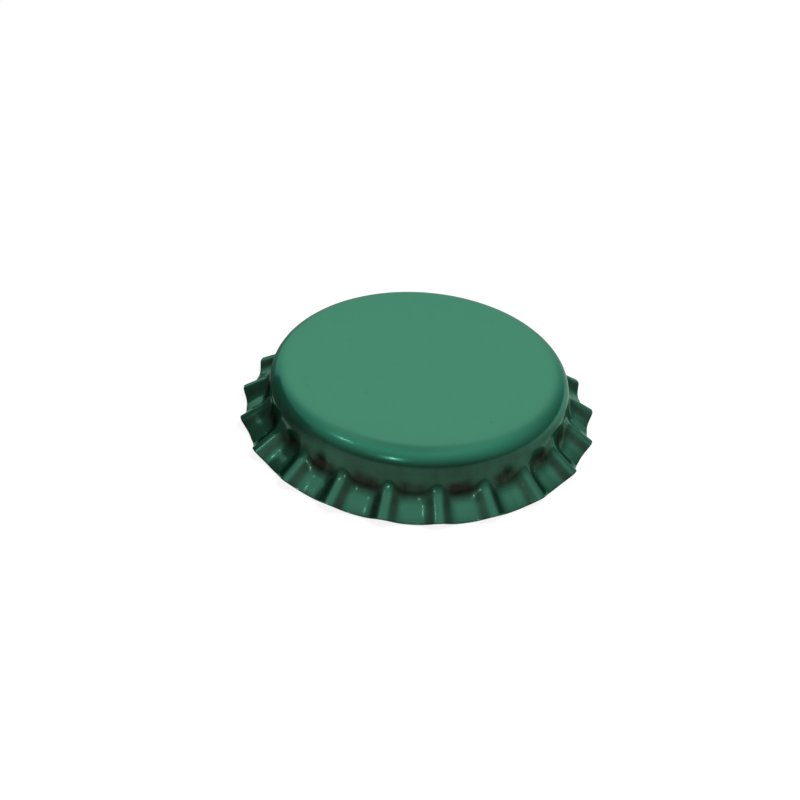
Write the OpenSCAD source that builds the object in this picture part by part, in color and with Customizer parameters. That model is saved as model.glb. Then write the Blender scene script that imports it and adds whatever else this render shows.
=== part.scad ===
// Crown cap for a 26 mm bottle mouth, standing on its rim as it lies on a table.
// A pressed tinplate shell with a fluted skirt holds a moulded sealing liner under its crown.
// The origin is on the axis, in the plane that the rim stands on. +Z points to the crown.

/* [Shell] */
// Overall height, from the table to the middle of the crown
cap_h = 6; // [5.6:0.05:6.6]
// Thickness of the tinplate
sheet = 0.235; // [0.18:0.005:0.3]
// Outside diameter of the plain wall above the flutes
wall_d = 26.75; // [26:0.05:27.5]
// Outside radius of the shoulder between the crown and the wall
shoulder_r = 1.9; // [1.4:0.05:2.1]
// Radius of the crown's slight dome
dome_r = 185; // [120:5:400]
// Height of plain wall between the shoulder and the tops of the crests
plain_h = 0.2; // [0.1:0.05:0.5]

/* [Flutes] */
// Number of flutes around the skirt
flutes = 21; // [18:1:24]
// Diameter over the tips of the crests
crest_d = 32.1; // [31:0.05:33]
// Height of the crests' tips above the table
crest_lift = 0.85; // [0.6:0.05:1.2]
// Diameter of the circle that the valleys' lips stand on
foot_d = 30.7; // [30:0.05:31.2]
// How far below the tops of the crests the valleys begin
valley_drop = 0.8; // [0.4:0.05:1.2]
// Radius at which a crest turns out from the wall
crest_bend = 1.8; // [1:0.1:2.4]
// Radius at which a valley turns out from the wall
valley_bend = 2.2; // [1:0.1:2.6]
// Width of a crest's flat top, measured at the rim
crest_w = 0.2; // [0.1:0.05:0.5]
// Width of each flank between crest and valley, measured at the rim
flank_w = 1.9; // [1.6:0.05:1.95]
// Share of a flank that rounds off into its crest
crest_round = 0.2; // [0.15:0.05:0.4]
// Share of a flank that rounds off into its valley
valley_round = 0.6; // [0.3:0.05:0.6]

/* [Liner] */
// Thickness of the liner's flat centre
liner_t = 0.35; // [0.2:0.05:0.6]
// How far the sealing bead stands out from the flat centre
bead_t = 0.35; // [0.15:0.05:0.5]
// Diameter of the sealing bead's top
bead_d = 23.4; // [22.6:0.1:23.8]
// How much lower than the bead the liner's edge lies
edge_t = 0.1; // [0:0.02:0.14]
// Diameter of the fine groove around the flat centre
groove_d = 19.6; // [19:0.1:21]
// Depth of that groove
groove_t = 0.08; // [0:0.02:0.14]
// Diameter of the flat centre
centre_d = 18.4; // [16:0.1:18.8]

/* [Hidden] */
$fn = 96;

wall_r = wall_d / 2;
// The dome meets the shoulder where both have the same slope.
dome_a = asin((wall_r - shoulder_r) / (dome_r - shoulder_r));
dome_z = cap_h - dome_r;
shoulder_z = dome_z + (dome_r - shoulder_r) * cos(dome_a);
// Heights at which the crests and the valleys leave the wall
crest_z = shoulder_z - plain_h;
valley_z = crest_z - valley_drop;

// Steps of the skirt's surface: around one flute, and down from the wall to the rim
flute_steps = 14;
skirt_rows = 6;
columns = flutes * flute_steps;
// The steps crowd on the crests, where the sheet bends most.
crowding = 1.3;
// Half-width of a crest's top and width of a flank, as shares of one flute's pitch
pitch = PI * crest_d / flutes;
crest_share = crest_w / 2 / pitch;
flank_share = min(flank_w / pitch, 0.5 - crest_share);
// Slope of a flank between its two rounded ends, against an even slope from end to end
steep = 1 / (1 - (crest_round + valley_round) / 2);
// The skirt's top edge is this much narrower than the wall on each side, and laps into it.
lap = 0.005;
// A small step along the surface, for its slope
nudge = 0.002;

// ---- Profiles, as [radius, height] ----

// Points of an arc about a centre, from one angle to another, measured up from +X
function arc(centre, r, from, to, steps) =
    [for (i = [0:steps]) let (a = from + (to - from) * i / steps) centre + r * [cos(a), sin(a)]];

// The crown and shoulder, moved inwards by a depth, from the axis down to the end of the shoulder
function crown_line(depth) = concat(
    arc([0, dome_z], dome_r - depth, 90, 90 - dome_a, 6),
    arc([wall_r - shoulder_r, shoulder_z], shoulder_r - depth, 90 - dome_a, 0, 10));

function reverse(list) = [for (i = [len(list) - 1:-1:0]) list[i]];

// A line from the wall to a lip: an upright start, a bend, and a straight flare to its end.
// reach and fall are measured from the wall and the bend's start to the lip's end.
// Returns [bend radius, angle turned, length of the flare].
function flare(reach, fall, bend) =
    let (
        // The bend stays small enough for a straight flare to follow it.
        r = min(bend, 0.8 * (reach * reach + fall * fall) / (2 * reach)),
        run = sqrt(pow(reach - r, 2) + fall * fall - r * r)
    )
    [r, atan2(fall, r - reach) - atan2(run, r), run];

// Crests are set by the outer edge of their tips, valleys by the inner edge that they stand on.
crest = flare(crest_d / 2 - wall_r, crest_z - crest_lift, crest_bend);
valley_in = flare(foot_d / 2 - wall_r + sheet, valley_z, valley_bend + sheet);
valley = [valley_in[0] - sheet, valley_in[1], valley_in[2]];

// The point at a share u of the way down such a line, which leaves the wall at height z
function on_flare(line, z, u) =
    let (
        bend = line[0] * line[1] * PI / 180,
        down = u * (crest_z - z + bend + line[2]),
        upright = min(down, crest_z - z),
        turn = min((down - upright) / line[0] * 180 / PI, line[1]),
        straight = max(down - upright - bend, 0)
    )
    [wall_r + line[0] * (1 - cos(turn)) + straight * sin(line[1]),
     crest_z - upright - line[0] * sin(turn) - straight * cos(line[1])];

// ---- The skirt's surface ----

// 1 on a crest, 0 in a valley: a flank leaves its crest sharply and runs out softly
function crestness(a) =
    let (
        t = a * flutes / 360,
        from_crest = abs(t - round(t)),
        x = min(max((from_crest - crest_share) / flank_share, 0), 1)
    )
    x < crest_round ? 1 - steep * x * x / (2 * crest_round)
    : x < 1 - valley_round ? 1 - steep * (x - crest_round / 2)
    : steep * (1 - x) * (1 - x) / (2 * valley_round);

// Outer face at angle a, a share u of the way from the wall to the rim
function outside(a, u) =
    let (
        c = crestness(a),
        p = c * on_flare(crest, crest_z, u) + (1 - c) * on_flare(valley, valley_z, u)
    )
    [p[0] * cos(a), p[0] * sin(a), p[1]];

// Inner face: the outer one, moved in by the sheet's thickness square to the surface
function inside(a, u) =
    let (
        around = outside(a + nudge, u) - outside(a - nudge, u),
        down = outside(a, min(u + nudge, 1)) - outside(a, max(u - nudge, 0)),
        out = cross(down, around)
    )
    outside(a, u) - sheet * out / norm(out);

function on_circle(a, r, z) = [r * cos(a), r * sin(a), z];

// One closed loop through the sheet at angle a: the lap in the wall, then down outside, up inside
function section(a) = concat(
    [on_circle(a, wall_r - sheet * 0.3, crest_z + plain_h / 2), on_circle(a, wall_r - lap, crest_z)],
    [for (i = [1:skirt_rows]) outside(a, i / skirt_rows)],
    [for (i = [skirt_rows:-1:1]) inside(a, i / skirt_rows)],
    [on_circle(a, wall_r - sheet + lap, crest_z), on_circle(a, wall_r - sheet * 0.7, crest_z + plain_h / 2)]);

// Angle of step i around the skirt
function step_angle(i) =
    let (u = 2 * (i % flute_steps) / flute_steps - 1)
    (floor(i / flute_steps) + sign(u) * pow(abs(u), crowding) / 2) * 360 / flutes;

module skirt() {
    ring = 2 * skirt_rows + 4;
    points = [for (i = [0:columns - 1]) each section(step_angle(i))];
    faces = [
        for (i = [0:columns - 1]) for (j = [0:ring - 1])
            let (
                here = i * ring,
                next = ((i + 1) % columns) * ring,
                k = (j + 1) % ring
            )
            each [[here + j, next + j, next + k], [here + j, next + k, here + k]]
    ];
    polyhedron(points, faces, convexity = 8);
}

// ---- Sub-parts ----

// Pressed shell: domed crown, round shoulder and plain wall in one sheet with the fluted skirt
module shell() {
    color("seagreen") union() {
        rotate_extrude()
            polygon(concat(
                crown_line(0),
                [[wall_r, crest_z], [wall_r - sheet, crest_z]],
                reverse(crown_line(sheet))));
        skirt();
    }
}

// Moulded liner: fills the shoulder from inside, with a soft sealing bead around a flat centre
centre_r = centre_d / 2;
centre_z = cap_h - sheet - liner_t - (dome_r - sqrt(dome_r * dome_r - centre_r * centre_r));
bead_z = centre_z - bead_t;
edge_z = bead_z + edge_t;
edge_r = wall_r - shoulder_r + sqrt(pow(shoulder_r - sheet, 2) - pow(edge_z - shoulder_z, 2));
wave_steps = 8;

// A soft wave from one point to another, level at both ends
function wave(from, to) =
    [for (i = [1:wave_steps]) let (x = i / wave_steps)
        [from[0] + (to[0] - from[0]) * x, from[1] + (to[1] - from[1]) * (1 - cos(180 * x)) / 2]];

module liner() {
    top = [for (p = crown_line(sheet)) if (p[1] > edge_z) p];
    edge = [edge_r, edge_z];
    bead = [bead_d / 2, bead_z];
    groove = [groove_d / 2, centre_z + groove_t];
    centre = [centre_r, centre_z];
    color("gainsboro")
        rotate_extrude()
            polygon(concat(top, [edge], wave(edge, bead), wave(bead, groove), wave(groove, centre),
                [[0, centre_z]]));
}

shell();
liner();
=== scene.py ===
"""Pressed crown cap for a bottle: a glossy green fluted shell and its pale moulded liner.

The cap stands on its rim on a pale studio floor. Everything is in metres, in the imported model's frame.
"""

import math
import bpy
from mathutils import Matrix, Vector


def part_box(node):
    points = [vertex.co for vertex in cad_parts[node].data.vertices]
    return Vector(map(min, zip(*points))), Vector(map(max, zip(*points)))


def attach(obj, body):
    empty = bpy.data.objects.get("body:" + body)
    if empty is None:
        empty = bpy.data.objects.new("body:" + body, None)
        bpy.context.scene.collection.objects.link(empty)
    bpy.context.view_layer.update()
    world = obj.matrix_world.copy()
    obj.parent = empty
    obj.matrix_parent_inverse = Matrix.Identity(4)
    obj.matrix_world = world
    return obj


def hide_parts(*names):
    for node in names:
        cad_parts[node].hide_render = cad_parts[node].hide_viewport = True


bl_info = {
    "name": "Pressed Bottle Cap",
    "version": (1, 0, 0),
    "blender": (4, 5, 0),
    "location": "View3D > Sidebar > Bottle Cap",
    "description": "Builds a fluted bottle cap with its sealing liner, and a small studio around it",
    "category": "Add Mesh",
}

import bpy
import numpy as np
from mathutils import Matrix, Vector

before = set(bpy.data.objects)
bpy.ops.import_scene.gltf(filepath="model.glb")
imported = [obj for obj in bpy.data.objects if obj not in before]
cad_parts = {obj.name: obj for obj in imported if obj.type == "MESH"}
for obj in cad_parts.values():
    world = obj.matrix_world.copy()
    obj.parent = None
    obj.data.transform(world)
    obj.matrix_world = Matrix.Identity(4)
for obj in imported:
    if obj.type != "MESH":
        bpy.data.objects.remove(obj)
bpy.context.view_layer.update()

MM = 0.001
SHELL_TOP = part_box("shell")[1].z


# ---- Settings ----


def length(name, description, default_mm):
    """A length setting, written in millimetres and kept in metres."""
    return bpy.props.FloatProperty(
        name=name,
        description=description,
        default=default_mm * MM,
        min=0.0,
        precision=5,
        unit="LENGTH",
        subtype="DISTANCE",
    )


def share(name, description, default):
    """A setting from 0 to 1."""
    return bpy.props.FloatProperty(
        name=name, description=description, default=default, min=0.0, max=1.0, subtype="FACTOR"
    )


def angle(name, description, default_deg):
    """An angle setting, written in degrees and kept in radians."""
    return bpy.props.FloatProperty(
        name=name, description=description, default=math.radians(default_deg), subtype="ANGLE"
    )


def number(name, description, default):
    """A plain number of 0 or more."""
    return bpy.props.FloatProperty(name=name, description=description, default=default, min=0.0)


def paint(name, description, default):
    """A colour setting, as linear red, green and blue."""
    return bpy.props.FloatVectorProperty(
        name=name, description=description, default=default, min=0.0, max=1.0, size=3, subtype="COLOR"
    )


class ShellSettings(bpy.types.PropertyGroup):
    """Sizes of the pressed shell"""

    cap_height: length("Cap Height", "From the table to the middle of the crown", SHELL_TOP / MM)
    sheet: length("Sheet", "Thickness of the tinplate", 0.235)
    wall_diameter: length("Wall Diameter", "Outside diameter of the plain wall", 26.75)
    shoulder_radius: length("Shoulder Radius", "Outside radius between crown and wall", 1.9)
    dome_radius: length("Dome Radius", "Radius of the crown's slight dome", 185.0)
    plain_height: length("Plain Height", "Height of plain wall above the crests", 0.2)
    flute_count: bpy.props.IntProperty(
        name="Flutes", description="Number of flutes around the skirt", default=21, min=3
    )
    crest_diameter: length("Crest Diameter", "Diameter over the crests' tips", 32.09)
    crest_lift: length("Crest Lift", "Height of the crests' tips above the table", 0.85)
    foot_diameter: length("Foot Diameter", "Circle that the valleys' lips stand on", 30.7)
    valley_drop: length("Valley Drop", "How far below the crests' tops the valleys begin", 0.8)
    crest_bend: length("Crest Bend", "Radius at which a crest turns out", 1.8)
    valley_bend: length("Valley Bend", "Radius at which a valley turns out", 2.2)
    crest_width: length("Crest Width", "Width of a crest's flat top at the rim", 0.2)
    flank_width: length("Flank Width", "Width of a flank at the rim", 1.9)
    crest_round: share("Crest Round", "Share of a flank that rounds off into the crest", 0.2)
    valley_round: share("Valley Round", "Share of a flank that rounds off into the valley", 0.6)
    valley_swell: length("Valley Swell", "How far a valley's floor bulges out between bend and rim", 0.05)
    edge_radius: length("Edge Radius", "Rounding of the sheet's cut edge", 0.03)


class LinerSettings(bpy.types.PropertyGroup):
    """Sizes of the moulded liner"""

    thickness: length("Thickness", "Thickness of the flat centre", 0.35)
    bead_height: length("Bead Height", "How far the sealing bead stands out from the centre", 0.35)
    bead_diameter: length("Bead Diameter", "Diameter of the sealing bead's top", 23.4)
    edge_drop: length("Edge Drop", "How much lower than the bead the liner's edge lies", 0.1)
    groove_diameter: length("Groove Diameter", "Diameter of the fine groove around the centre", 19.6)
    groove_depth: length("Groove Depth", "Depth of that groove", 0.08)
    centre_diameter: length("Centre Diameter", "Diameter of the flat centre", 18.4)


class FinishSettings(bpy.types.PropertyGroup):
    """Colours and gloss of the cap's surfaces"""

    lacquer: paint("Lacquer", "Colour of the lacquered shell", (0.051, 0.258, 0.153))
    thick_lacquer: paint("Thick Lacquer", "Colour where the lacquer lies thicker", (0.046, 0.246, 0.148))
    lacquer_metal: share("Lacquer Metal", "How much the metal shows through the lacquer", 0.82)
    # Painted reflection: the shoulder is painted a purer green, as it reflects less of the white behind
    # than the crown does
    rolled_reflection_tint: paint("Rolled Lacquer", "Colour of the lacquer over the shoulder", (0.031, 0.250, 0.155))
    # Painted shade: the flutes are painted darker for the shade between them
    stretched: paint("Stretched Lacquer", "Colour of the lacquer on the flutes", (0.039, 0.194, 0.120))
    # Painted shade: steep, sideways-facing sheet is painted darker for the dark surroundings that it
    # reflects
    drawn_and_shaded: paint("Drawn Lacquer", "Colour of the lacquer where it is drawn steep", (0.046, 0.173, 0.103))
    # Painted shade: the colour deep between the tops of the flutes, along their folds and just above the
    # rim
    flute_shade: paint("Pocket Lacquer", "Colour deep between the tops of the flutes", (0.034, 0.029, 0.021))
    drawn_metal: share("Drawn Metal", "How much the metal shows where the sheet is drawn steep", 0.72)
    lacquer_roughness: share("Lacquer Roughness", "Roughness of the lacquer", 0.23)
    # Painted shade: the cut edge is darker than bare steel, as an edge that faces down
    edge: paint("Cut Edge", "Colour of the sheet's bare cut edge", (0.03, 0.036, 0.032))
    edge_bright: paint("Bright Edge", "Colour of the bright streaks on the cut edge", (0.10, 0.115, 0.105))
    liner: paint("Liner", "Colour of the liner's flat centre", (0.575, 0.56, 0.566))
    liner_bead: paint("Liner Bead", "Colour of the liner's sealing bead", (0.60, 0.54, 0.515))
    liner_shade: paint("Liner Shade", "Colour of the liner's faint darker patches", (0.52, 0.50, 0.50))
    liner_roughness: share("Liner Roughness", "Roughness of the moulded liner", 0.45)


class StudioSettings(bpy.types.PropertyGroup):
    """Camera, lamps and floor"""

    view_azimuth: angle("View Azimuth", "Where the camera stands around the cap", -4.9)
    view_elevation: angle("View Elevation", "Height of the camera above the horizon", 35.44)
    view_roll: angle("View Roll", "Tilt of the camera's own horizon", 4.41)
    view_distance: length("View Distance", "From the camera to the middle of the cap", 122.0)
    lens_px: number("Lens", "Focal length in pixels of an 800 pixel wide picture", 1356.7)
    middle_x_px: number("Middle X", "Pixel column of the cap's middle", 419.06)
    middle_y_px: number("Middle Y", "Pixel row of the cap's middle", 387.17)
    overhead_power: number("Overhead Power", "Watts of the soft light overhead", 1.15)
    spark_power: number("Spark Power", "Watts of the small light left of the camera", 0.04)
    side_spark_power: number("Side Spark Power", "Watts of the small light further left", 0.024)
    tent_radius: length("Tent Radius", "Radius of the light tent", 450.0)
    tent_front: number("Tent Front", "Brightness low in front, where 1 is white", 0.03)
    tent_side: number("Tent Side", "Brightness low at the sides, where 1 is white", 0.14)
    tent_high: number("Tent High", "Brightness high in front, where 1 is white", 0.75)
    tent_top: number("Tent Top", "Brightness overhead, where 1 is white", 0.59)
    flag_grey: share("Flag Grey", "Brightness of the dark card at the far left", 0.12)
    room_light: number("Room Light", "Strength of the dim light all round", 0.1)
    floor_grey: share("Floor Grey", "How much light the floor throws back", 0.25)


# ---- Meshes ----


def arc(centre, radius, start, end, steps):
    """Points of an arc as (radius, height) rows, with angles measured up from the horizontal."""
    angles = np.linspace(start, end, steps + 1)
    return np.stack([centre[0] + radius * np.cos(angles), centre[1] + radius * np.sin(angles)], 1)


def ease(x):
    """0 to 1 with a soft start and a soft end."""
    x = np.clip(x, 0, 1)
    return x * x * (3 - 2 * x)


def ease_over(x, span):
    """A soft step from 0 at a span's start to 1 at its end."""
    start, end = span
    return ease((x - start) / (end - start))


class Outline:
    """The shell's profile worked out from its settings, in the same way as in the part's source."""

    def __init__(self, s):
        self.s = s
        self.wall = s.wall_diameter / 2
        self.dome_angle = math.asin((self.wall - s.shoulder_radius) / (s.dome_radius - s.shoulder_radius))
        self.dome_z = s.cap_height - s.dome_radius
        self.shoulder_z = self.dome_z + (s.dome_radius - s.shoulder_radius) * math.cos(self.dome_angle)
        self.crest_z = self.shoulder_z - s.plain_height
        self.valley_z = self.crest_z - s.valley_drop
        crest_reach = s.crest_diameter / 2 - self.wall
        foot_reach = s.foot_diameter / 2 - self.wall + s.sheet
        self.crest = self.flare(crest_reach, self.crest_z - s.crest_lift, s.crest_bend)
        radius, turn, run = self.flare(foot_reach, self.valley_z, s.valley_bend + s.sheet)
        self.valley = (radius - s.sheet, turn, run)
        pitch = math.pi * s.crest_diameter / s.flute_count
        self.crest_share = s.crest_width / 2 / pitch
        self.flank_share = s.flank_width / pitch

    @staticmethod
    def flare(reach, fall, bend):
        """A bend out of the wall and a straight flare after it: (bend radius, turn, length of flare)."""
        radius = min(bend, 0.8 * (reach**2 + fall**2) / (2 * reach))
        run = math.sqrt((reach - radius) ** 2 + fall**2 - radius**2)
        return radius, math.atan2(fall, radius - reach) - math.atan2(run, radius), run

    def on_flare(self, line, start_z, u):
        """Radius and height a share u of the way down a line that leaves the wall at start_z."""
        radius, turn, run = line
        upright = self.crest_z - start_z
        down = u * (upright + radius * turn + run)
        on_wall = min(down, upright)
        turned = min((down - on_wall) / radius, turn)
        straight = max(down - on_wall - radius * turn, 0.0)
        r = self.wall + radius * (1 - math.cos(turned)) + straight * math.sin(turn)
        z = self.crest_z - on_wall - radius * math.sin(turned) - straight * math.cos(turn)
        return np.array([r, z])

    def crestness(self, angles):
        """1 on a crest and 0 in a valley: a flank leaves the crest sharply and runs out softly."""
        turns = angles * self.s.flute_count / (2 * math.pi)
        from_crest = np.abs(turns - np.round(turns))
        x = np.clip((from_crest - self.crest_share) / self.flank_share, 0, 1)
        near, far = self.s.crest_round, self.s.valley_round
        steep = 1 / (1 - (near + far) / 2)
        by_crest = 1 - steep * x * x / (2 * near)
        on_flank = 1 - steep * (x - near / 2)
        by_valley = steep * (1 - x) ** 2 / (2 * far)
        return np.select([x < near, x < 1 - far], [by_crest, on_flank], by_valley)

    def in_valley(self, u):
        """Radius and height in the middle of a valley, whose floor swells a little towards the rim."""
        radius, turn, run = self.valley
        bent = self.crest_z - self.valley_z + radius * turn
        along = max(u * (bent + run) - bent, 0.0) / run
        swell = 4 * along * (1 - along) * self.s.valley_swell
        outward = np.array([math.cos(turn), math.sin(turn)])
        return self.on_flare(self.valley, self.valley_z, u) + swell * outward

    def skirt_ring(self, angles, u):
        """Points all round the skirt's outer face, a share u of the way from wall to rim."""
        c = self.crestness(angles)[:, None]
        on_crest = self.on_flare(self.crest, self.crest_z, u)
        r, z = (c * on_crest + (1 - c) * self.in_valley(u)).T
        return np.stack([r * np.cos(angles), r * np.sin(angles), z], 1)


def ring(angles, point):
    """A level circle of points through a profile point."""
    r, z = point
    return np.stack([r * np.cos(angles), r * np.sin(angles), np.full_like(angles, z)], 1)


def mesh_from_rings(name, rings, start_z=None, end_z=None):
    """A surface through rings of equal length, closed by a fan at either end where a height is given."""
    columns = len(rings[0])
    points = [tuple(p) for r in rings for p in r]
    faces = []
    for row in range(len(rings) - 1):
        for i in range(columns):
            j = (i + 1) % columns
            here, below = row * columns, (row + 1) * columns
            faces.append((here + i, below + i, below + j, here + j))
    if start_z is not None:
        points.append((0.0, 0.0, start_z))
        top = len(points) - 1
        faces += [(top, i, (i + 1) % columns) for i in range(columns)]
    if end_z is not None:
        points.append((0.0, 0.0, end_z))
        last = (len(rings) - 1) * columns
        tip = len(points) - 1
        faces += [(tip, last + (i + 1) % columns, last + i) for i in range(columns)]
    mesh = bpy.data.meshes.new(name)
    mesh.from_pydata(points, [], faces)
    mesh.validate()
    mesh.shade_smooth()
    piece = bpy.data.objects.new(name, mesh)
    bpy.context.scene.collection.objects.link(piece)
    return piece


# Steps of the shell's mesh
FLUTE_COLUMNS = 40
CREST_CROWDING = 1.3
DOME_RINGS = 5
SHOULDER_RINGS = 10
SKIRT_RINGS = 26
# How far up the surface looks where the shoulder's painted shade and painted reflection tint change, from
# 0 sideways to 1 straight up
DRAWN_AND_SHADED_SHOULDER = (0.30, 0.62)
ROLLED_SHOULDER = (0.84, 0.985)
# The painted shade in the pocket between two crests: its middle below the valley's top, and how far it
# runs down and up
POCKET_DEPTH = 0.6 * MM
POCKET_REACH = 0.9 * MM
POCKET_RISE = 1.6 * MM
# How far below the crests' tops the painted shade of the neck gives way to the flutes' colour, on a ridge
# and in a valley
RIDGE_START = 0.6 * MM
FLOOR_START = 1.9 * MM
FLARE_REACH = 0.65 * MM
# The painted shade of a darker fold along each flank: where it lies from crest to valley, and how strong
# it is
FOLD_START = (0.02, 0.30)
FOLD_END = (0.57, 0.93)
FOLD_SHARE = 0.55
FOLD_REACH = 1.4 * MM
# The painted shade of a darker line just above the rim
RIM_REACH = 0.7 * MM
RIM_SHARE = 0.2


def flute_angles(flutes):
    """Angles all round the shell, closest on the crests, where the sheet bends most."""
    u = np.linspace(-1, 1, FLUTE_COLUMNS, endpoint=False)
    turns = np.sign(u) * np.abs(u) ** CREST_CROWDING / 2
    return ((np.arange(flutes)[:, None] + turns) * 2 * math.pi / flutes).ravel()


def shell_rings(outline):
    """Rings of the shell's outer face, from the middle of the crown down to the rim."""
    s = outline.s
    angles = flute_angles(s.flute_count)
    top = math.pi / 2
    edge = top - outline.dome_angle
    dome = arc((0, outline.dome_z), s.dome_radius, top, edge, DOME_RINGS)[1:]
    centre = (outline.wall - s.shoulder_radius, outline.shoulder_z)
    shoulder = arc(centre, s.shoulder_radius, edge, 0, SHOULDER_RINGS)[1:]
    rings = [ring(angles, p) for p in (*dome, *shoulder)]
    rings += [outline.skirt_ring(angles, i / SKIRT_RINGS) for i in range(SKIRT_RINGS + 1)]
    return rings


def add_mark(mesh, name, values):
    """Keeps a number from 0 to 1 at each point of a mesh, for its finish to read."""
    layer = mesh.attributes.new(name, "FLOAT", "POINT")
    layer.data.foreach_set("value", values.astype(np.float32))


def mark_shell(mesh, outline):
    """Marks where the lacquer's colour carries painted shade and painted reflection: the rolled shoulder,
    the steep drawn sheet, the flared flutes, and the pockets, folds and rim line between them.
    """
    points = np.array([v.co for v in mesh.vertices])
    upward = np.array([n.vector.z for n in mesh.vertex_normals])
    height = points[:, 2]
    between = 1 - outline.crestness(np.arctan2(points[:, 1], points[:, 0]))
    start = outline.crest_z - RIDGE_START - (FLOOR_START - RIDGE_START) * between
    flared = ease((start - height) / FLARE_REACH)
    shade_by_slope = 1 - ease_over(upward, DRAWN_AND_SHADED_SHOULDER)
    add_mark(mesh, "rolled_reflection_tint", 1 - ease_over(upward, ROLLED_SHOULDER))
    add_mark(mesh, "drawn_and_shaded", np.where(height < outline.crest_z, 1 - flared, shade_by_slope))
    add_mark(mesh, "flared", flared)
    above = height - (outline.valley_z - POCKET_DEPTH)
    near = ease(1 - np.where(above > 0, above / POCKET_RISE, -above / POCKET_REACH))
    fold_shade = ease_over(between, FOLD_START) * (1 - ease_over(between, FOLD_END))
    fold_shade *= FOLD_SHARE * ease((outline.crest_z - height) / FOLD_REACH)
    rim_shade = RIM_SHARE * between * ease(1 - height / RIM_REACH)
    add_mark(mesh, "flute_shade", np.maximum(between * near, np.maximum(fold_shade, rim_shade)))


def press_shell(s):
    """The shell as one sheet, given its thickness and a rounded cut edge by modifiers."""
    outline = Outline(s)
    shell = mesh_from_rings("fluted_shell", shell_rings(outline), start_z=s.cap_height)
    mark_shell(shell.data, outline)
    solid = shell.modifiers.new("Sheet", "SOLIDIFY")
    solid.thickness = s.sheet
    solid.offset = -1.0
    solid.use_even_offset = True
    solid.use_quality_normals = True
    solid.material_offset_rim = 1
    bevel = shell.modifiers.new("Cut Edge", "BEVEL")
    bevel.width = s.edge_radius
    bevel.segments = 2
    bevel.limit_method = "ANGLE"
    bevel.angle_limit = math.radians(60)
    return shell


# Steps of the liner's mesh
LINER_COLUMNS = 168
WAVE_RINGS = 8


def wave(start, end):
    """A soft wave from one (radius, height) point to another, level at both ends."""
    x = np.linspace(0, 1, WAVE_RINGS + 1)[1:]
    rise = (1 - np.cos(math.pi * x)) / 2
    (r0, z0), (r1, z1) = start, end
    return np.stack([r0 + (r1 - r0) * x, z0 + (z1 - z0) * rise], 1)


def mould_liner(s, shell):
    """The liner as a turned solid that fills the shoulder from inside, with a soft sealing bead."""
    outline = Outline(shell)
    angles = np.arange(LINER_COLUMNS) * 2 * math.pi / LINER_COLUMNS
    inner = shell.shoulder_radius - shell.sheet
    corner = (outline.wall - shell.shoulder_radius, outline.shoulder_z)
    centre_r = s.centre_diameter / 2
    sag = shell.dome_radius - math.sqrt(shell.dome_radius**2 - centre_r**2)
    centre_z = shell.cap_height - shell.sheet - s.thickness - sag
    edge_z = centre_z - s.bead_height + s.edge_drop
    edge_angle = math.asin((edge_z - corner[1]) / inner)
    top = math.pi / 2
    dome_end = top - outline.dome_angle
    dome = arc((0, outline.dome_z), shell.dome_radius - shell.sheet, top, dome_end, DOME_RINGS)[1:]
    shoulder = arc(corner, inner, dome_end, edge_angle, SHOULDER_RINGS)[1:]
    edge = shoulder[-1]
    bead = (s.bead_diameter / 2, centre_z - s.bead_height)
    groove = (s.groove_diameter / 2, centre_z + s.groove_depth)
    centre = (centre_r, centre_z)
    under = [*wave(edge, bead), *wave(bead, groove), *wave(groove, centre), (centre_r / 2, centre_z)]
    rings = [ring(angles, p) for p in (*dome, *shoulder, *under)]
    return mesh_from_rings("sealing_liner", rings, shell.cap_height - shell.sheet, centre_z)


# ---- Surface effects shared by the finishes ----


def feed(tree, socket, value):
    """Links another node's output to a socket, or sets the socket to a plain value."""
    if isinstance(value, bpy.types.NodeSocket):
        tree.links.new(value, socket)
    else:
        socket.default_value = value


def reckon(tree, operation, *values):
    """The result of a sum on outputs or plain numbers."""
    node = tree.nodes.new("ShaderNodeMath")
    node.operation = operation
    for socket, value in zip(node.inputs, values):
        feed(tree, socket, value)
    return node.outputs[0]


def map_range(tree, value, start, end, to_start, to_end, smooth=False):
    """A value moved from one range to another and held inside it."""
    node = tree.nodes.new("ShaderNodeMapRange")
    node.interpolation_type = "SMOOTHSTEP" if smooth else "LINEAR"
    for socket, number_in in zip(node.inputs, (value, start, end, to_start, to_end)):
        feed(tree, socket, number_in)
    return node.outputs["Result"]


def mix_colours(tree, factor, first, second):
    """A colour between two, by a factor from 0 to 1."""
    node = tree.nodes.new("ShaderNodeMix")
    node.data_type = "RGBA"
    feed(tree, node.inputs["Factor"], factor)
    feed(tree, node.inputs["A"], first)
    feed(tree, node.inputs["B"], second)
    return node.outputs["Result"]


def noise(tree, place, scale, detail=2.0):
    """Cloudy noise from 0 to 1."""
    node = tree.nodes.new("ShaderNodeTexNoise")
    feed(tree, node.inputs["Vector"], place)
    feed(tree, node.inputs["Scale"], scale)
    node.inputs["Detail"].default_value = detail
    return node.outputs["Fac"]


def on_piece(tree):
    """Each point's place on the piece, in metres."""
    return tree.nodes.new("ShaderNodeTexCoord").outputs["Object"]


def level_place(tree):
    """Each point's place with its height left out."""
    flat = tree.nodes.new("ShaderNodeVectorMath")
    flat.operation = "MULTIPLY"
    flat.inputs[1].default_value = (1, 1, 0)
    tree.links.new(on_piece(tree), flat.inputs[0])
    return flat.outputs["Vector"]


def new_group(name, inputs, output):
    """An empty node group with numbers going in and one value coming out."""
    group = bpy.data.node_groups.new(name, "ShaderNodeTree")
    for label, default in inputs:
        socket = group.interface.new_socket(label, in_out="INPUT", socket_type="NodeSocketFloat")
        socket.default_value = default
    group.interface.new_socket(output, in_out="OUTPUT", socket_type="NodeSocketFloat")
    entry = group.nodes.new("NodeGroupInput").outputs
    return group, entry, group.nodes.new("NodeGroupOutput").inputs[0]


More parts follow.
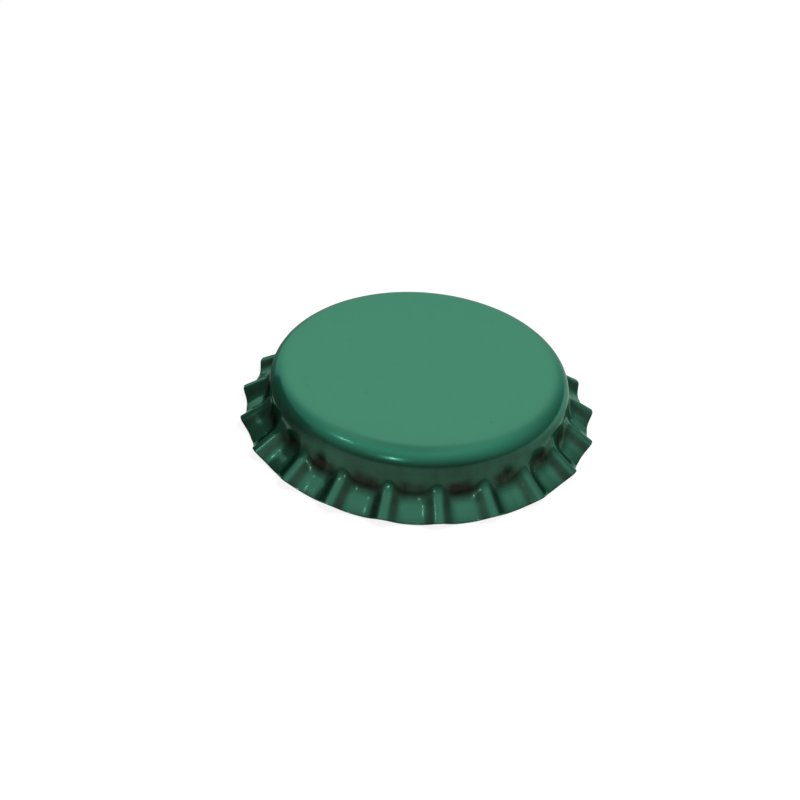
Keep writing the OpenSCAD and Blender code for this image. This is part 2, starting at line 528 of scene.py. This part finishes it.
def mottle_group():
    """Soft cloudy patches around 0.5."""
    group, entry, result = new_group("mottle", [("Size", 1.0 * MM), ("Contrast", 1.0)], "Mottle")
    clouds = noise(group, on_piece(group), reckon(group, "DIVIDE", 1.0, entry["Size"]), 3.0)
    spread = reckon(group, "MULTIPLY_ADD", reckon(group, "SUBTRACT", clouds, 0.5), entry["Contrast"], 0.5)
    feed(group, result, map_range(group, spread, 0.0, 1.0, 0.0, 1.0))
    return group


def grain_group():
    """Height of a skin: a slow ripple with a fine grain on it."""
    inputs = [("Ripple Size", 0.6 * MM), ("Grain Size", 0.06 * MM), ("Grain Share", 0.3)]
    group, entry, result = new_group("skin_grain", inputs, "Height")
    place = on_piece(group)
    ripple = noise(group, place, reckon(group, "DIVIDE", 1.0, entry["Ripple Size"]), 1.0)
    grain = noise(group, place, reckon(group, "DIVIDE", 1.0, entry["Grain Size"]), 2.0)
    plain_share = reckon(group, "SUBTRACT", 1.0, entry["Grain Share"])
    fine = reckon(group, "MULTIPLY", grain, entry["Grain Share"])
    feed(group, result, reckon(group, "MULTIPLY_ADD", ripple, plain_share, fine))
    return group


def hairline_group():
    """Thin broken scratches that run one way."""
    inputs = [("Spacing", 0.3 * MM), ("Angle", 0.0), ("Amount", 1.0)]
    group, entry, result = new_group("hairlines", inputs, "Hairlines")
    turned = group.nodes.new("ShaderNodeVectorRotate")
    turned.rotation_type = "Z_AXIS"
    place = on_piece(group)
    group.links.new(place, turned.inputs["Vector"])
    group.links.new(entry["Angle"], turned.inputs["Angle"])
    stretched = group.nodes.new("ShaderNodeVectorMath")
    stretched.operation = "MULTIPLY"
    stretched.inputs[1].default_value = (1.0, 0.03, 0.2)
    group.links.new(turned.outputs["Vector"], stretched.inputs[0])
    lines = noise(group, stretched.outputs["Vector"], reckon(group, "DIVIDE", 1.0, entry["Spacing"]), 0.0)
    thin = map_range(group, lines, 0.70, 0.80, 0.0, 1.0, smooth=True)
    broken = map_range(group, noise(group, place, 300.0, 1.0), 0.45, 0.65, 0.0, 1.0, smooth=True)
    both = reckon(group, "MULTIPLY", thin, broken)
    feed(group, result, reckon(group, "MULTIPLY", both, entry["Amount"]))
    return group


def speck_group():
    """Small separate specks, such as dust in a film."""
    inputs = [("Spacing", 2.0 * MM), ("Size", 0.1), ("Share", 0.2)]
    group, entry, result = new_group("specks", inputs, "Specks")
    cells = group.nodes.new("ShaderNodeTexVoronoi")
    group.links.new(on_piece(group), cells.inputs["Vector"])
    group.links.new(reckon(group, "DIVIDE", 1.0, entry["Spacing"]), cells.inputs["Scale"])
    inside = reckon(group, "SUBTRACT", entry["Size"], cells.outputs["Distance"])
    soft = reckon(group, "DIVIDE", inside, reckon(group, "MULTIPLY", entry["Size"], 0.5))
    shape = map_range(group, soft, 0.0, 1.0, 0.0, 1.0, smooth=True)
    chance = group.nodes.new("ShaderNodeSeparateColor")
    group.links.new(cells.outputs["Color"], chance.inputs[0])
    kept = reckon(group, "LESS_THAN", chance.outputs[0], entry["Share"])
    feed(group, result, reckon(group, "MULTIPLY", shape, kept))
    return group


def draw_line_group():
    """Fine streaks that run straight out from the axis, as drawing or shearing leaves them."""
    group, entry, result = new_group("draw_lines", [("Streaks", 90.0), ("Contrast", 2.0)], "Streak")
    direction = group.nodes.new("ShaderNodeVectorMath")
    direction.operation = "NORMALIZE"
    group.links.new(level_place(group), direction.inputs[0])
    streaks = noise(group, direction.outputs["Vector"], entry["Streaks"], 3.0)
    spread = reckon(group, "MULTIPLY_ADD", reckon(group, "SUBTRACT", streaks, 0.5), entry["Contrast"], 0.5)
    feed(group, result, map_range(group, spread, 0.0, 1.0, 0.0, 1.0))
    return group


EFFECTS = {
    "mottle": mottle_group,
    "skin_grain": grain_group,
    "hairlines": hairline_group,
    "specks": speck_group,
    "draw_lines": draw_line_group,
}


def effect(tree, name, **values):
    """Places a shared effect in a material with its own values, and returns what comes out."""
    node = tree.nodes.new("ShaderNodeGroup")
    node.node_tree = bpy.data.node_groups.get(name) or EFFECTS[name]()
    for label, value in values.items():
        feed(tree, node.inputs[label.replace("_", " ").title()], value)
    return node.outputs[0]


# ---- Finishes ----


def new_material(name):
    """An empty node material: itself, its tree and its Principled shader."""
    material = bpy.data.materials.new(name)
    material.use_nodes = True
    return material, material.node_tree, material.node_tree.nodes["Principled BSDF"]


def mark(tree, name):
    """A mark from 0 to 1 that the mesh carries at its points."""
    node = tree.nodes.new("ShaderNodeAttribute")
    node.attribute_name = name
    return node.outputs["Fac"]


def relief(tree, shader, height, depth):
    """Gives a shader the relief of a height from 0 to 1, over a depth in metres."""
    bump = tree.nodes.new("ShaderNodeBump")
    bump.inputs["Distance"].default_value = depth
    feed(tree, bump.inputs["Height"], height)
    tree.links.new(bump.outputs["Normal"], shader.inputs["Normal"])


# Weight of the clear coat, where the lacquer is even and where it is darkest
LACQUER_COAT = (0.37, 0.08)
COAT_ROUGHNESS = 0.09
# Tint of the metal under the lacquer, seen at a low angle
LACQUER_GRAZE = (0.28, 0.50, 0.40, 1)
# Depth of the fine relief in each surface
LACQUER_RELIEF = 0.004 * MM
EDGE_RELIEF = 0.006 * MM
LINER_RELIEF = 0.010 * MM
# Pitch of the liner's turning marks, and the radii between which the bead's warmer colour sets in
PUNCH_PITCH = 0.28 * MM
BEAD_TINT = (9.4 * MM, 10.6 * MM)


def lacquer(finish):
    """Green lacquer over bright tinplate, duller where the press drew the sheet steep, with painted shade
    on the steep sheet, the flutes and their pockets, folds and rim line, and a painted reflection tint on
    the shoulder.
    """
    material, tree, shader = new_material("green_lacquer")
    rolled_reflection_tint = mark(tree, "rolled_reflection_tint")
    drawn_and_shaded = mark(tree, "drawn_and_shaded")
    flared = mark(tree, "flared")
    flute_shade = mark(tree, "flute_shade")
    clouds = effect(tree, "mottle", size=1.1 * MM, contrast=1.6)
    patches = effect(tree, "mottle", size=6.0 * MM, contrast=1.8)
    scratches = effect(tree, "hairlines", spacing=0.25 * MM, angle=0.6, amount=0.3)
    specks = effect(tree, "specks", spacing=2.6 * MM, size=0.09, share=0.22)
    streaks = effect(tree, "draw_lines", streaks=45.0, contrast=1.8)
    smears = effect(tree, "draw_lines", streaks=13.0, contrast=2.4)
    blotches = effect(tree, "mottle", size=2.4 * MM, contrast=3.2)

    cloudy = reckon(tree, "MULTIPLY_ADD", clouds, 0.7, reckon(tree, "MULTIPLY", patches, 0.3))
    level = mix_colours(tree, cloudy, (*finish.lacquer, 1), (*finish.thick_lacquer, 1))
    # Painted reflection: the shoulder's purer green
    level = mix_colours(tree, rolled_reflection_tint, level, (*finish.rolled_reflection_tint, 1))
    # Painted shade: the flutes darker, and the steep sheet darker still
    stretched = mix_colours(tree, flared, level, (*finish.stretched, 1))
    coloured = mix_colours(tree, drawn_and_shaded, stretched, (*finish.drawn_and_shaded, 1))
    # Painted shade toward the pocket colour, in the pockets, folds and rim line and on the steep sheet,
    # broken up by streaks and blotches
    uneven = reckon(tree, "MULTIPLY_ADD", smears, 0.5, reckon(tree, "MULTIPLY", blotches, 0.5))
    smeared_shade = reckon(tree, "MULTIPLY", reckon(tree, "MULTIPLY", uneven, drawn_and_shaded), 0.42)
    hollow_shade = reckon(tree, "MULTIPLY", flute_shade, map_range(tree, uneven, 0.15, 0.85, 0.5, 1.35))
    shade = reckon(tree, "MAXIMUM", smeared_shade, hollow_shade)
    coloured = mix_colours(tree, shade, coloured, (*finish.flute_shade, 1))
    dulled = mix_colours(tree, reckon(tree, "MULTIPLY", specks, 0.2), coloured, (*finish.drawn_and_shaded, 1))
    streaked = reckon(tree, "MULTIPLY", reckon(tree, "MULTIPLY", streaks, drawn_and_shaded), 0.07)
    tree.links.new(mix_colours(tree, streaked, dulled, (*finish.lacquer, 1)), shader.inputs["Base Color"])

    metal = map_range(tree, drawn_and_shaded, 0.0, 1.0, finish.lacquer_metal, finish.drawn_metal)
    tree.links.new(metal, shader.inputs["Metallic"])
    dull = reckon(tree, "MULTIPLY_ADD", drawn_and_shaded, 0.06, finish.lacquer_roughness - 0.02)
    dull = reckon(tree, "MULTIPLY_ADD", cloudy, 0.04, dull)
    dull = reckon(tree, "MULTIPLY_ADD", scratches, 0.12, dull)
    dull = reckon(tree, "MULTIPLY_ADD", specks, 0.10, dull)
    tree.links.new(dull, shader.inputs["Roughness"])
    tree.links.new(map_range(tree, shade, 0.0, 1.0, *LACQUER_COAT), shader.inputs["Coat Weight"])
    shader.inputs["Coat Roughness"].default_value = COAT_ROUGHNESS
    shader.inputs["Specular IOR Level"].default_value = 0.0
    shader.inputs["Specular Tint"].default_value = LACQUER_GRAZE

    skin = effect(tree, "skin_grain", ripple_size=0.7 * MM, grain_size=0.07 * MM, grain_share=0.12)
    height = reckon(tree, "MULTIPLY_ADD", scratches, -0.3, skin)
    height = reckon(tree, "MULTIPLY_ADD", specks, 0.8, height)
    height = reckon(tree, "MULTIPLY_ADD", reckon(tree, "MULTIPLY", streaks, drawn_and_shaded), 0.4, height)
    relief(tree, shader, height, LACQUER_RELIEF)
    return material


def cut_edge(finish):
    """Bare sheared steel with streaks across it, painted darker than steel as shade for an edge that faces
    down.
    """
    material, tree, shader = new_material("cut_edge")
    streaks = effect(tree, "draw_lines", streaks=160.0, contrast=3.0)
    stains = effect(tree, "mottle", size=1.5 * MM, contrast=2.0)
    shear = mix_colours(tree, streaks, (*finish.edge, 1), (*finish.edge_bright, 1))
    worn = mix_colours(tree, reckon(tree, "MULTIPLY", stains, 0.4), shear, (*finish.drawn_and_shaded, 1))
    tree.links.new(worn, shader.inputs["Base Color"])
    shader.inputs["Metallic"].default_value = 0.9
    tree.links.new(map_range(tree, streaks, 0.0, 1.0, 0.38, 0.55), shader.inputs["Roughness"])
    relief(tree, shader, streaks, EDGE_RELIEF)
    return material


def liner_compound(finish):
    """Satin moulded compound, warmer on the bead, with faint turning marks from its punch."""
    material, tree, shader = new_material("liner_compound")
    clouds = effect(tree, "mottle", size=2.5 * MM, contrast=1.8)
    freckles = effect(tree, "specks", spacing=2.2 * MM, size=0.07, share=0.15)
    scratches = effect(tree, "hairlines", spacing=0.4 * MM, angle=2.1, amount=0.6)
    radius = tree.nodes.new("ShaderNodeVectorMath")
    radius.operation = "LENGTH"
    tree.links.new(level_place(tree), radius.inputs[0])
    outward = radius.outputs["Value"]

    on_bead = map_range(tree, outward, *BEAD_TINT, 0.0, 1.0, smooth=True)
    tinted = mix_colours(tree, on_bead, (*finish.liner, 1), (*finish.liner_bead, 1))
    shaded = mix_colours(tree, reckon(tree, "MULTIPLY", clouds, 0.5), tinted, (*finish.liner_shade, 1))
    freckled = mix_colours(tree, reckon(tree, "MULTIPLY", freckles, 0.5), shaded, (*finish.liner_shade, 1))
    tree.links.new(freckled, shader.inputs["Base Color"])
    dull = reckon(tree, "MULTIPLY_ADD", clouds, 0.10, finish.liner_roughness - 0.05)
    dull = reckon(tree, "MULTIPLY_ADD", scratches, 0.10, dull)
    tree.links.new(dull, shader.inputs["Roughness"])
    shader.inputs["Specular IOR Level"].default_value = 0.35

    turns = reckon(tree, "SINE", reckon(tree, "MULTIPLY", outward, 2 * math.pi / PUNCH_PITCH))
    marks = reckon(tree, "MULTIPLY_ADD", turns, 0.5, 0.5)
    skin = effect(tree, "skin_grain", ripple_size=1.6 * MM, grain_size=0.12 * MM, grain_share=0.2)
    height = reckon(tree, "MULTIPLY_ADD", marks, 0.12, skin)
    height = reckon(tree, "MULTIPLY_ADD", scratches, -0.3, height)
    relief(tree, shader, height, LINER_RELIEF)
    return material


# ---- Studio ----


def seen_directly(tree):
    """1 for camera, mirror and see-through rays, and 0 for light that the floor throws back."""
    path = tree.nodes.new("ShaderNodeLightPath").outputs
    seen = reckon(tree, "MAXIMUM", path["Is Camera Ray"], path["Is Glossy Ray"])
    return reckon(tree, "MAXIMUM", seen, path["Is Transmission Ray"])


def bare_material(name):
    """A material with nothing but its output: itself, its tree and the output's surface."""
    material = bpy.data.materials.new(name)
    material.use_nodes = True
    material.node_tree.nodes.clear()
    output = material.node_tree.nodes.new("ShaderNodeOutputMaterial")
    return material, material.node_tree, output.inputs["Surface"]


# Distances from the cap over which the floor's white grows, and the white that it grows to
FLOOR_NEAR = 0.08
FLOOR_FAR = 0.40
FAR_WHITE = 1.05
FLOOR_HALF = 2.0


def floor_paper(studio):
    """A pale paper floor, white where it is seen, which keeps the cap's shadow."""
    material, tree, surface = bare_material("floor_paper")
    paper = tree.nodes.new("ShaderNodeBsdfDiffuse")
    paper.inputs["Color"].default_value = (*[studio.floor_grey] * 3, 1)
    outward = tree.nodes.new("ShaderNodeVectorMath")
    outward.operation = "LENGTH"
    tree.links.new(on_piece(tree), outward.inputs[0])
    near_white = 1.08 - studio.floor_grey * 0.8
    white = map_range(tree, outward.outputs["Value"], FLOOR_NEAR, FLOOR_FAR, near_white, FAR_WHITE)
    glow = tree.nodes.new("ShaderNodeEmission")
    tree.links.new(reckon(tree, "MULTIPLY", seen_directly(tree), white), glow.inputs["Strength"])
    both = tree.nodes.new("ShaderNodeAddShader")
    tree.links.new(paper.outputs[0], both.inputs[0])
    tree.links.new(glow.outputs[0], both.inputs[1])
    tree.links.new(both.outputs[0], surface)
    return material


def lay_floor(studio):
    """A square of floor paper under the cap."""
    mesh = bpy.data.meshes.new("studio_floor")
    corners = [(FLOOR_HALF * x, FLOOR_HALF * y, 0) for x, y in ((-1, -1), (1, -1), (1, 1), (-1, 1))]
    mesh.from_pydata(corners, [], [(0, 1, 2, 3)])
    floor = bpy.data.objects.new("studio_floor", mesh)
    bpy.context.scene.collection.objects.link(floor)
    mesh.materials.append(floor_paper(studio))


def area_lamp(name, location, size, power):
    """A square lamp that faces the cap."""
    lamp = bpy.data.lights.new(name, "AREA")
    lamp.shape = "RECTANGLE"
    lamp.size, lamp.size_y = size, size
    lamp.energy = power
    holder = bpy.data.objects.new(name, lamp)
    bpy.context.scene.collection.objects.link(holder)
    holder.location = location
    holder.visible_camera = False
    holder.rotation_mode = "QUATERNION"
    holder.rotation_quaternion = (-location).to_track_quat("-Z", "Y")
    return holder


def around(studio, azimuth_deg, elevation_deg, distance):
    """A point seen from the cap at an azimuth from the camera's own, and an elevation."""
    a = studio.view_azimuth + math.radians(azimuth_deg)
    e = math.radians(elevation_deg)
    return Vector((math.sin(a) * math.cos(e), -math.cos(a) * math.cos(e), math.sin(e))) * distance


TENT_COLUMNS = 48
TENT_ROWS = 24
# Where the tent's brightness changes, in radians: around from its dark middle, and up from the floor
DARK_MIDDLE = 0.12
FRONT_TO_SIDE = (0.4, 1.0)
LOW_TO_HIGH = (0.12, 1.10)
HIGH_TO_TOP = (1.2, 1.55)
BEHIND_TO_TOP = (0.87, 1.32)
SIDE_TO_BEHIND = (1.95, 2.80)


def tent_glow(studio, azimuths, elevations):
    """How bright the tent is: dark low in front, soft overhead and white behind."""
    aside = np.abs(azimuths - DARK_MIDDLE)
    low = studio.tent_front + (studio.tent_side - studio.tent_front) * ease_over(aside, FRONT_TO_SIDE)
    front = low + (studio.tent_high - low) * np.interp(elevations, LOW_TO_HIGH, (0, 1))
    front += (studio.tent_top - studio.tent_high) * ease_over(elevations, HIGH_TO_TOP)
    behind = 1 + (studio.tent_top - 1) * ease_over(elevations, BEHIND_TO_TOP)
    return front + (behind - front) * ease_over(aside, SIDE_TO_BEHIND)


def glowing_cloth():
    """Cloth as bright as the glow that its mesh carries at each point."""
    material, tree, surface = bare_material("glowing_cloth")
    material.cycles.emission_sampling = "NONE"
    cloth = tree.nodes.new("ShaderNodeEmission")
    tree.links.new(mark(tree, "glow"), cloth.inputs["Strength"])
    tree.links.new(cloth.outputs[0], surface)
    return material


def hang_reflected(name, points, columns, glow, cloth):
    """A sheet through rows of points that shows only as a reflection, and lights and shades nothing."""
    rows = len(points) // columns
    starts = [row * columns + i for row in range(rows - 1) for i in range(columns - 1)]
    faces = [(a, a + 1, a + columns + 1, a + columns) for a in starts]
    mesh = bpy.data.meshes.new(name)
    mesh.from_pydata(points.tolist(), [], faces)
    add_mark(mesh, "glow", glow)
    mesh.materials.append(cloth)
    sheet = bpy.data.objects.new(name, mesh)
    bpy.context.scene.collection.objects.link(sheet)
    sheet.visible_camera = False
    sheet.visible_diffuse = False
    sheet.visible_shadow = False
    sheet.visible_transmission = False


def all_round(steps):
    """Azimuths all round the cap against steps of another measure, both as flat lists of points."""
    azimuths, measures = np.meshgrid(np.linspace(-math.pi, math.pi, TENT_COLUMNS + 1), steps)
    return azimuths.ravel(), measures.ravel()


def pitch_tent(studio, cloth):
    """A light tent over the cap and all round it."""
    azimuths, elevations = all_round(np.linspace(0, math.pi / 2, TENT_ROWS + 1))
    turns = azimuths + studio.view_azimuth
    out = studio.tent_radius * np.cos(elevations)
    up = studio.tent_radius * np.sin(elevations)
    points = np.stack([out * np.sin(turns), -out * np.cos(turns), up], 1)
    glow = tent_glow(studio, azimuths, elevations)
    hang_reflected("light_tent", points, TENT_COLUMNS + 1, glow, cloth)


# Brightness of the sheet on the floor at azimuths from the camera's own, in degrees
SHADE = (
    (-180, -135, -108, -76, -40, 0, 40, 76, 108, 135, 180),
    (0.7, 0.4, 0.17, 0.12, 0.56, 0.43, 0.48, 0.58, 1.0, 0.7, 0.7),
)
SHADE_ROWS = 6
SHADE_START = 16.5 * MM
SHADE_LIFT = 0.03 * MM


def lay_shade(studio, cloth):
    """A darker sheet on the floor, from just outside the cap to the tent."""
    azimuths, outwards = all_round(np.linspace(0, 1, SHADE_ROWS + 1))
    turns = azimuths + studio.view_azimuth
    out = SHADE_START * (studio.tent_radius / SHADE_START) ** outwards
    points = np.stack([out * np.sin(turns), -out * np.cos(turns), np.full_like(out, SHADE_LIFT)], 1)
    hang_reflected("floor_shade", points, TENT_COLUMNS + 1, np.interp(np.degrees(azimuths), *SHADE), cloth)


# The dark card, by azimuth from the camera's own
FLAG_AZIMUTH = -85
FLAG_DISTANCE = 23.5 * MM
FLAG_HALF_WIDTH = 10 * MM
FLAG_HEIGHT = 11 * MM


def stand_flag(studio, cloth):
    """A dark card close to the cap's far left side."""
    middle = around(studio, FLAG_AZIMUTH, 0, FLAG_DISTANCE)
    along = Vector((0, 0, 1)).cross(middle).normalized() * FLAG_HALF_WIDTH
    rise = Vector((0, 0, FLAG_HEIGHT))
    corners = [middle - along, middle + along, middle - along + rise, middle + along + rise]
    hang_reflected("dark_flag", np.array(corners), 2, np.full(4, studio.flag_grey), cloth)


LAMP_DISTANCE = 0.40


def hang_lamps(studio):
    """A soft lamp overhead that isn't seen in the cap, and two small ones that give it glints."""
    overhead = area_lamp("overhead", around(studio, 90, 65, LAMP_DISTANCE), 0.30, studio.overhead_power)
    overhead.visible_glossy = False
    area_lamp("spark", around(studio, -15, 33, LAMP_DISTANCE), 0.02, studio.spark_power)
    area_lamp("side_spark", around(studio, -66, 50, LAMP_DISTANCE), 0.03, studio.side_spark_power)


def set_reflections(studio):
    """The sheets that only the cap's own reflections show."""
    cloth = glowing_cloth()
    pitch_tent(studio, cloth)
    lay_shade(studio, cloth)
    stand_flag(studio, cloth)


def light_room(studio):
    """Dim light all round, and white behind the floor's far edge."""
    world = bpy.data.worlds.new("studio_room")
    bpy.context.scene.world = world
    world.use_nodes = True
    tree = world.node_tree
    background = tree.nodes["Background"]
    strength = map_range(tree, seen_directly(tree), 0.0, 1.0, studio.room_light, 1.0)
    tree.links.new(strength, background.inputs["Strength"])
    background.inputs["Color"].default_value = (1, 1, 1, 1)


PICTURE_PX = 800
SENSOR_MM = 36.0


def set_camera(studio):
    """The camera looks down at the cap, tilted, with the cap's middle at its pixel."""
    back = around(studio, 0, math.degrees(studio.view_elevation), 1.0)
    forward = -back
    level = Vector((0, 0, 1)).cross(back).normalized()
    upright = back.cross(level)
    c, s = math.cos(studio.view_roll), math.sin(studio.view_roll)
    right = level * c + upright * s
    up = upright * c - level * s
    aside = studio.middle_x_px - PICTURE_PX / 2
    above = PICTURE_PX / 2 - studio.middle_y_px
    yaw = math.atan2(aside, studio.lens_px)
    pitch = math.atan2(-above, math.hypot(studio.lens_px, aside))
    forward, right = (
        forward * math.cos(yaw) - right * math.sin(yaw),
        right * math.cos(yaw) + forward * math.sin(yaw),
    )
    forward, up = (
        forward * math.cos(pitch) + up * math.sin(pitch),
        up * math.cos(pitch) - forward * math.sin(pitch),
    )
    data = bpy.data.cameras.new("camera")
    data.sensor_width = SENSOR_MM
    data.lens = studio.lens_px / PICTURE_PX * SENSOR_MM
    data.clip_start, data.clip_end = 0.01, 10.0
    camera = bpy.data.objects.new("camera", data)
    bpy.context.scene.collection.objects.link(camera)
    middle = Vector((0, 0, SHELL_TOP / 2))
    axes = Matrix((right, up, -forward)).transposed().to_4x4()
    camera.matrix_world = Matrix.Translation(middle + back * studio.view_distance) @ axes
    bpy.context.scene.camera = camera


# ---- Operators ----


class CAP_OT_press_shell(bpy.types.Operator):
    """Press the fluted shell and lacquer it"""

    bl_idname = "cap.press_shell"
    bl_label = "Press Shell"

    def execute(self, context):
        shell = press_shell(context.scene.cap_shell)
        shell.data.materials.append(lacquer(context.scene.cap_finish))
        shell.data.materials.append(cut_edge(context.scene.cap_finish))
        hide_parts("shell")
        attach(shell, "root")
        return {"FINISHED"}


class CAP_OT_mould_liner(bpy.types.Operator):
    """Mould the sealing liner inside the shell"""

    bl_idname = "cap.mould_liner"
    bl_label = "Mould Liner"

    def execute(self, context):
        liner = mould_liner(context.scene.cap_liner, context.scene.cap_shell)
        liner.data.materials.append(liner_compound(context.scene.cap_finish))
        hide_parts("liner")
        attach(liner, "root")
        return {"FINISHED"}


class CAP_OT_set_studio(bpy.types.Operator):
    """Lay the floor, hang the lamps, set the reflections and place the camera"""

    bl_idname = "cap.set_studio"
    bl_label = "Set Studio"

    def execute(self, context):
        studio = context.scene.cap_studio
        context.scene.view_settings.view_transform = "Standard"
        lay_floor(studio)
        hang_lamps(studio)
        set_reflections(studio)
        light_room(studio)
        set_camera(studio)
        return {"FINISHED"}


class CAP_PT_panel(bpy.types.Panel):
    """The cap's settings and operators"""

    bl_label = "Bottle Cap"
    bl_idname = "CAP_PT_panel"
    bl_space_type = "VIEW_3D"
    bl_region_type = "UI"
    bl_category = "Bottle Cap"

    def draw(self, context):
        for group, operator in STEPS:
            box = self.layout.box()
            settings = getattr(context.scene, group)
            for name in settings.__annotations__:
                box.prop(settings, name)
            if operator:
                box.operator(operator.bl_idname)


SETTINGS = {
    "cap_finish": FinishSettings,
    "cap_shell": ShellSettings,
    "cap_liner": LinerSettings,
    "cap_studio": StudioSettings,
}
STEPS = (
    ("cap_finish", None),
    ("cap_shell", CAP_OT_press_shell),
    ("cap_liner", CAP_OT_mould_liner),
    ("cap_studio", CAP_OT_set_studio),
)
CLASSES = (*SETTINGS.values(), *[operator for _, operator in STEPS if operator], CAP_PT_panel)


def register():
    for cls in CLASSES:
        bpy.utils.register_class(cls)
    for name, group in SETTINGS.items():
        setattr(bpy.types.Scene, name, bpy.props.PointerProperty(type=group))


def unregister():
    for name in SETTINGS:
        delattr(bpy.types.Scene, name)
    for cls in reversed(CLASSES):
        bpy.utils.unregister_class(cls)


def main():
    """Register everything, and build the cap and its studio."""
    register()
    bpy.ops.cap.press_shell()
    bpy.ops.cap.mould_liner()
    bpy.ops.cap.set_studio()


if __name__ == "__main__":
    main()
